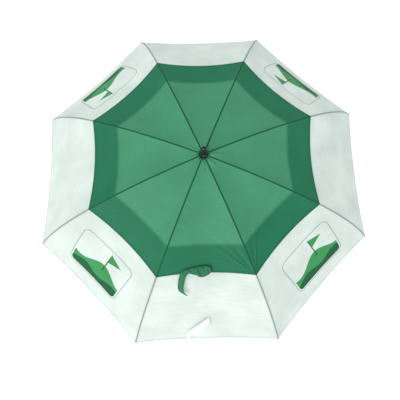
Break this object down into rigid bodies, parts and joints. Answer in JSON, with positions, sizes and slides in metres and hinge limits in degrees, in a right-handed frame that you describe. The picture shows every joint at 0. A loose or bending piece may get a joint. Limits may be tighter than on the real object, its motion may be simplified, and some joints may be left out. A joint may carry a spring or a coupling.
{
  "type": "golf umbrella",
  "caption": "Straight-handled golf umbrella with a vented double canopy on folding ribs, shown open, that closes by sliding its runner down the shaft.",
  "frame": {"origin": "centre of the handle's flat lower end", "axes": "+Z along the shaft towards the ferrule; the front panel, with the tie straps, faces -Y"},
  "size_m": [1.2302, 1.2302, 0.9972],
  "materials": {
    "upper_cloth": "green woven polyester pongee",
    "lower_cloth": "white woven polyester pongee",
    "ferrule_plastic": "glossy black moulded plastic",
    "black_plastic": "satin black moulded plastic",
    "grip_foam": "fine black EVA foam",
    "shaft_steel": "black lacquered steel tube",
    "rib_steel": "black coated pressed steel",
    "rib_glass_fibre": "black glass-fibre rod",
    "bright_wire": "bright spring steel",
    "tip_metal": "plated steel cap"
  },
  "bodies": {
    "root": {"shaft": "shaft_steel", "crown": "black_plastic", "crown_wire": "bright_wire", "rosette": "upper_cloth", "ferrule": "ferrule_plastic", "handle_grip": "grip_foam", "handle_cap": "black_plastic"},
    "runner": {"runner": "black_plastic"},
    "top_catch": {"top_catch": "bright_wire"},
    "bottom_catch": {"bottom_catch": "bright_wire"},
    "rib_1": {"inner_rib_1": "rib_steel", "upper_canopy_1": "upper_cloth"},
    "rib_end_1": {"outer_rib_1": "rib_glass_fibre", "rib_tip_1": "tip_metal", "lower_canopy_1": "lower_cloth"},
    "stretcher_1": {"stretcher_1": "rib_steel"},
    "rib_2": {"inner_rib_2": "rib_steel", "upper_canopy_2": "upper_cloth"},
    "rib_end_2": {"outer_rib_2": "rib_glass_fibre", "rib_tip_2": "tip_metal", "lower_canopy_2": "lower_cloth"},
    "stretcher_2": {"stretcher_2": "rib_steel"},
    "rib_3": {"inner_rib_3": "rib_steel", "upper_canopy_3": "upper_cloth"},
    "rib_end_3": {"outer_rib_3": "rib_glass_fibre", "rib_tip_3": "tip_metal", "lower_canopy_3": "lower_cloth"},
    "stretcher_3": {"stretcher_3": "rib_steel"},
    "rib_4": {"inner_rib_4": "rib_steel", "upper_canopy_4": "upper_cloth"},
    "rib_end_4": {"outer_rib_4": "rib_glass_fibre", "rib_tip_4": "tip_metal", "lower_canopy_4": "lower_cloth"},
    "stretcher_4": {"stretcher_4": "rib_steel"},
    "rib_5": {"inner_rib_5": "rib_steel", "upper_canopy_5": "upper_cloth"},
    "rib_end_5": {"outer_rib_5": "rib_glass_fibre", "rib_tip_5": "tip_metal", "lower_canopy_5": "lower_cloth"},
    "stretcher_5": {"stretcher_5": "rib_steel"},
    "rib_6": {"inner_rib_6": "rib_steel", "upper_canopy_6": "upper_cloth", "upper_tie_strap": "upper_cloth"},
    "rib_end_6": {"outer_rib_6": "rib_glass_fibre", "rib_tip_6": "tip_metal", "lower_canopy_6": "lower_cloth", "lower_tie_strap": "lower_cloth"},
    "stretcher_6": {"stretcher_6": "rib_steel"},
    "rib_7": {"inner_rib_7": "rib_steel", "upper_canopy_7": "upper_cloth"},
    "rib_end_7": {"outer_rib_7": "rib_glass_fibre", "rib_tip_7": "tip_metal", "lower_canopy_7": "lower_cloth"},
    "stretcher_7": {"stretcher_7": "rib_steel"},
    "rib_8": {"inner_rib_8": "rib_steel", "upper_canopy_8": "upper_cloth"},
    "rib_end_8": {"outer_rib_8": "rib_glass_fibre", "rib_tip_8": "tip_metal", "lower_canopy_8": "lower_cloth"},
    "stretcher_8": {"stretcher_8": "rib_steel"}
  },
  "joints": [
    {"name": "runner_slide", "type": "slide", "parent": "root", "child": "runner", "axis": [0, 0, -1], "range_m": [0, 0.51253], "deforming": ["upper_canopy_1", "upper_canopy_2", "upper_canopy_3", "upper_canopy_4", "upper_canopy_5", "upper_canopy_6", "upper_canopy_7", "upper_canopy_8", "lower_canopy_1", "lower_canopy_2", "lower_canopy_3", "lower_canopy_4", "lower_canopy_5", "lower_canopy_6", "lower_canopy_7", "lower_canopy_8", "upper_tie_strap", "lower_tie_strap"]},
    {"name": "rib_hinge_1", "type": "hinge", "parent": "root", "child": "rib_1", "pos_m": [0.01109, 0.00459, 0.935], "axis": [-0.3827, 0.9239, 0], "range_deg": [0, 77.32]},
    {"name": "rib_flex_1", "type": "hinge", "parent": "rib_1", "child": "rib_end_1", "pos_m": [0.38711, 0.16034, 0.86908], "axis": [0.3827, -0.9239, 0], "range_deg": [0, 19.3]},
    {"name": "stretcher_hinge_1", "type": "hinge", "parent": "rib_1", "child": "stretcher_1", "pos_m": [0.30363, 0.12577, 0.88984], "axis": [0.3827, -0.9239, 0], "range_deg": [0, 148.29]},
    {"name": "rib_hinge_2", "type": "hinge", "parent": "root", "child": "rib_2", "pos_m": [0.00459, 0.01109, 0.935], "axis": [-0.9239, 0.3827, 0], "range_deg": [0, 77.32]},
    {"name": "rib_flex_2", "type": "hinge", "parent": "rib_2", "child": "rib_end_2", "pos_m": [0.16034, 0.38711, 0.86908], "axis": [0.9239, -0.3827, 0], "range_deg": [0, 19.3]},
    {"name": "stretcher_hinge_2", "type": "hinge", "parent": "rib_2", "child": "stretcher_2", "pos_m": [0.12577, 0.30363, 0.88984], "axis": [0.9239, -0.3827, 0], "range_deg": [0, 148.29]},
    {"name": "rib_hinge_3", "type": "hinge", "parent": "root", "child": "rib_3", "pos_m": [-0.00459, 0.01109, 0.935], "axis": [-0.9239, -0.3827, 0], "range_deg": [0, 77.32]},
    {"name": "rib_flex_3", "type": "hinge", "parent": "rib_3", "child": "rib_end_3", "pos_m": [-0.16034, 0.38711, 0.86908], "axis": [0.9239, 0.3827, 0], "range_deg": [0, 19.3]},
    {"name": "stretcher_hinge_3", "type": "hinge", "parent": "rib_3", "child": "stretcher_3", "pos_m": [-0.12577, 0.30363, 0.88984], "axis": [0.9239, 0.3827, 0], "range_deg": [0, 148.29]},
    {"name": "rib_hinge_4", "type": "hinge", "parent": "root", "child": "rib_4", "pos_m": [-0.01109, 0.00459, 0.935], "axis": [-0.3827, -0.9239, 0], "range_deg": [0, 77.32]},
    {"name": "rib_flex_4", "type": "hinge", "parent": "rib_4", "child": "rib_end_4", "pos_m": [-0.38711, 0.16034, 0.86908], "axis": [0.3827, 0.9239, 0], "range_deg": [0, 19.3]},
    {"name": "stretcher_hinge_4", "type": "hinge", "parent": "rib_4", "child": "stretcher_4", "pos_m": [-0.30363, 0.12577, 0.88984], "axis": [0.3827, 0.9239, 0], "range_deg": [0, 148.29]},
    {"name": "rib_hinge_5", "type": "hinge", "parent": "root", "child": "rib_5", "pos_m": [-0.01109, -0.00459, 0.935], "axis": [0.3827, -0.9239, 0], "range_deg": [0, 77.32]},
    {"name": "rib_flex_5", "type": "hinge", "parent": "rib_5", "child": "rib_end_5", "pos_m": [-0.38711, -0.16034, 0.86908], "axis": [-0.3827, 0.9239, 0], "range_deg": [0, 19.3]},
    {"name": "stretcher_hinge_5", "type": "hinge", "parent": "rib_5", "child": "stretcher_5", "pos_m": [-0.30363, -0.12577, 0.88984], "axis": [-0.3827, 0.9239, 0], "range_deg": [0, 148.29]},
    {"name": "rib_hinge_6", "type": "hinge", "parent": "root", "child": "rib_6", "pos_m": [-0.00459, -0.01109, 0.935], "axis": [0.9239, -0.3827, 0], "range_deg": [0, 77.32]},
    {"name": "rib_flex_6", "type": "hinge", "parent": "rib_6", "child": "rib_end_6", "pos_m": [-0.16034, -0.38711, 0.86908], "axis": [-0.9239, 0.3827, 0], "range_deg": [0, 19.3]},
    {"name": "stretcher_hinge_6", "type": "hinge", "parent": "rib_6", "child": "stretcher_6", "pos_m": [-0.12577, -0.30363, 0.88984], "axis": [-0.9239, 0.3827, 0], "range_deg": [0, 148.29]},
    {"name": "rib_hinge_7", "type": "hinge", "parent": "root", "child": "rib_7", "pos_m": [0.00459, -0.01109, 0.935], "axis": [0.9239, 0.3827, 0], "range_deg": [0, 77.32]},
    {"name": "rib_flex_7", "type": "hinge", "parent": "rib_7", "child": "rib_end_7", "pos_m": [0.16034, -0.38711, 0.86908], "axis": [-0.9239, -0.3827, 0], "range_deg": [0, 19.3]},
    {"name": "stretcher_hinge_7", "type": "hinge", "parent": "rib_7", "child": "stretcher_7", "pos_m": [0.12577, -0.30363, 0.88984], "axis": [-0.9239, -0.3827, 0], "range_deg": [0, 148.29]},
    {"name": "rib_hinge_8", "type": "hinge", "parent": "root", "child": "rib_8", "pos_m": [0.01109, -0.00459, 0.935], "axis": [0.3827, 0.9239, 0], "range_deg": [0, 77.32]},
    {"name": "rib_flex_8", "type": "hinge", "parent": "rib_8", "child": "rib_end_8", "pos_m": [0.38711, -0.16034, 0.86908], "axis": [-0.3827, -0.9239, 0], "range_deg": [0, 19.3]},
    {"name": "stretcher_hinge_8", "type": "hinge", "parent": "rib_8", "child": "stretcher_8", "pos_m": [0.30363, -0.12577, 0.88984], "axis": [-0.3827, -0.9239, 0], "range_deg": [0, 148.29]},
    {"name": "top_catch_spring", "type": "slide", "parent": "root", "child": "top_catch", "axis": [1, 0, 0], "range_m": [0, 0.0032]},
    {"name": "bottom_catch_spring", "type": "slide", "parent": "root", "child": "bottom_catch", "axis": [1, 0, 0], "range_m": [0, 0.0032]}
  ],
  "couplings": [
    {"joint": "rib_hinge_1", "follows": "runner_slide", "rad_per_m": 2.6331},
    {"joint": "rib_flex_1", "follows": "runner_slide", "rad_per_m": 0.65715},
    {"joint": "stretcher_hinge_1", "follows": "runner_slide", "rad_per_m": 5.0497},
    {"joint": "rib_hinge_2", "follows": "runner_slide", "rad_per_m": 2.6331},
    {"joint": "rib_flex_2", "follows": "runner_slide", "rad_per_m": 0.65715},
    {"joint": "stretcher_hinge_2", "follows": "runner_slide", "rad_per_m": 5.0497},
    {"joint": "rib_hinge_3", "follows": "runner_slide", "rad_per_m": 2.6331},
    {"joint": "rib_flex_3", "follows": "runner_slide", "rad_per_m": 0.65715},
    {"joint": "stretcher_hinge_3", "follows": "runner_slide", "rad_per_m": 5.0497},
    {"joint": "rib_hinge_4", "follows": "runner_slide", "rad_per_m": 2.6331},
    {"joint": "rib_flex_4", "follows": "runner_slide", "rad_per_m": 0.65715},
    {"joint": "stretcher_hinge_4", "follows": "runner_slide", "rad_per_m": 5.0497},
    {"joint": "rib_hinge_5", "follows": "runner_slide", "rad_per_m": 2.6331},
    {"joint": "rib_flex_5", "follows": "runner_slide", "rad_per_m": 0.65715},
    {"joint": "stretcher_hinge_5", "follows": "runner_slide", "rad_per_m": 5.0497},
    {"joint": "rib_hinge_6", "follows": "runner_slide", "rad_per_m": 2.6331},
    {"joint": "rib_flex_6", "follows": "runner_slide", "rad_per_m": 0.65715},
    {"joint": "stretcher_hinge_6", "follows": "runner_slide", "rad_per_m": 5.0497},
    {"joint": "rib_hinge_7", "follows": "runner_slide", "rad_per_m": 2.6331},
    {"joint": "rib_flex_7", "follows": "runner_slide", "rad_per_m": 0.65715},
    {"joint": "stretcher_hinge_7", "follows": "runner_slide", "rad_per_m": 5.0497},
    {"joint": "rib_hinge_8", "follows": "runner_slide", "rad_per_m": 2.6331},
    {"joint": "rib_flex_8", "follows": "runner_slide", "rad_per_m": 0.65715},
    {"joint": "stretcher_hinge_8", "follows": "runner_slide", "rad_per_m": 5.0497}
  ]
}
